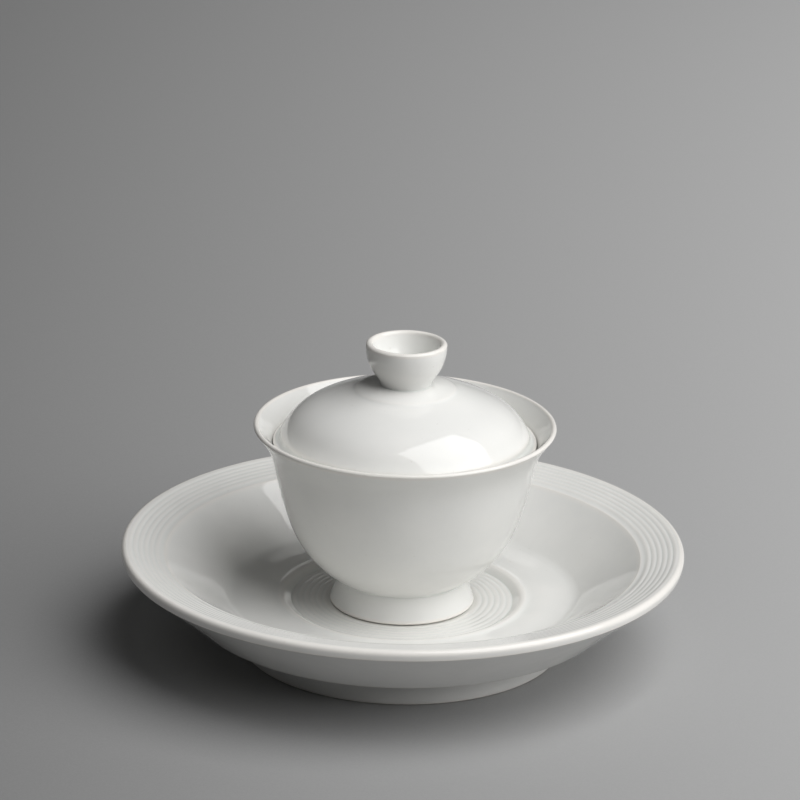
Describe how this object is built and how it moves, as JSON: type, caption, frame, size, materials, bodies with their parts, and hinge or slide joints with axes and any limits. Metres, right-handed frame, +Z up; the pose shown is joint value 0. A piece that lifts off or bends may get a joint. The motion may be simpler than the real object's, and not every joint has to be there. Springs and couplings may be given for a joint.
{
  "type": "lidded tea bowl with saucer",
  "caption": "Glazed porcelain gaiwan: flared tea bowl on a high foot, domed lid with a hollow cup-shaped knob, and a wide ridged saucer with a recessed seat.",
  "frame": {"origin": "centre of the saucer's foot ring on the plane it stands on", "axes": "+Z up along the common axis of revolution of saucer, bowl and lid; X and Y are equivalent"},
  "size_m": [0.178, 0.178, 0.1007],
  "materials": {
    "saucer_glaze": "gloss",
    "bowl_glaze": "gloss",
    "lid_glaze": "gloss"
  },
  "bodies": {
    "saucer": {"saucer_dish": "saucer_glaze", "saucer_foot_ring": "saucer_glaze"},
    "bowl": {"bowl_body": "bowl_glaze", "bowl_foot_ring": "bowl_glaze"},
    "lid": {"lid_dome": "lid_glaze", "lid_knob": "lid_glaze"}
  },
  "joints": [
    {"name": "bowl_lift", "type": "slide", "parent": "saucer", "child": "bowl", "axis": [0, 0, 1], "range_m": [0, 0.06]},
    {"name": "lid_lift", "type": "slide", "parent": "bowl", "child": "lid", "axis": [0, 0, 1], "range_m": [0, 0.06]}
  ]
}
